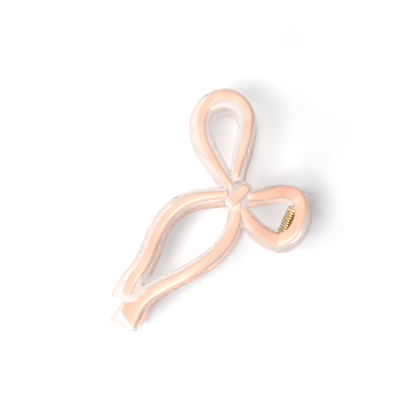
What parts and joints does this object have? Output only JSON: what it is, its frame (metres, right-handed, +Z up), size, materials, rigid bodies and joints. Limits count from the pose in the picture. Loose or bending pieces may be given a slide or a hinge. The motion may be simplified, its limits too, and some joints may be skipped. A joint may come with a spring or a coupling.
{
  "type": "claw clip",
  "caption": "Bow-shaped claw clip for hair: mirrored clear toothed jaws with opaque ribbon cores let into them, turning on a pin and closed by a torsion spring.",
  "frame": {"origin": "middle of the clip's footprint, on the surface it lies on with its rear jaw down", "axes": "+X along the hinge, towards the ribbon tails; +Y from the teeth towards the finger tab; +Z up, out of the front jaw"},
  "size_m": [0.1134, 0.0678, 0.0398],
  "materials": {
    "clear": "clear, polished",
    "peach": "opaque, glossy",
    "spring_wire": "bright brass-coloured wire",
    "pin_steel": "bright drawn wire"
  },
  "bodies": {
    "rear_jaw": {"rear_shell": "clear", "rear_side_loop_core": "peach", "rear_tab_loop_core": "peach", "rear_lower_tail_core": "peach", "rear_upper_tail_core": "peach", "rear_knot_wrap": "clear", "rear_knot_core": "peach", "hinge_pin": "pin_steel", "torsion_spring": "spring_wire"},
    "front_jaw": {"front_shell": "clear", "front_side_loop_core": "peach", "front_tab_loop_core": "peach", "front_lower_tail_core": "peach", "front_upper_tail_core": "peach", "front_knot_wrap": "clear", "front_knot_core": "peach"}
  },
  "joints": [
    {"name": "jaw_hinge", "type": "hinge", "parent": "rear_jaw", "child": "front_jaw", "pos_m": [-0.01313, 0.02454, 0.01991], "axis": [-1, 0, 0], "range_deg": [0, 65], "stiffness_Nm_per_rad": 0.07, "springref_deg": -57.3, "deforming": ["torsion_spring"]}
  ]
}
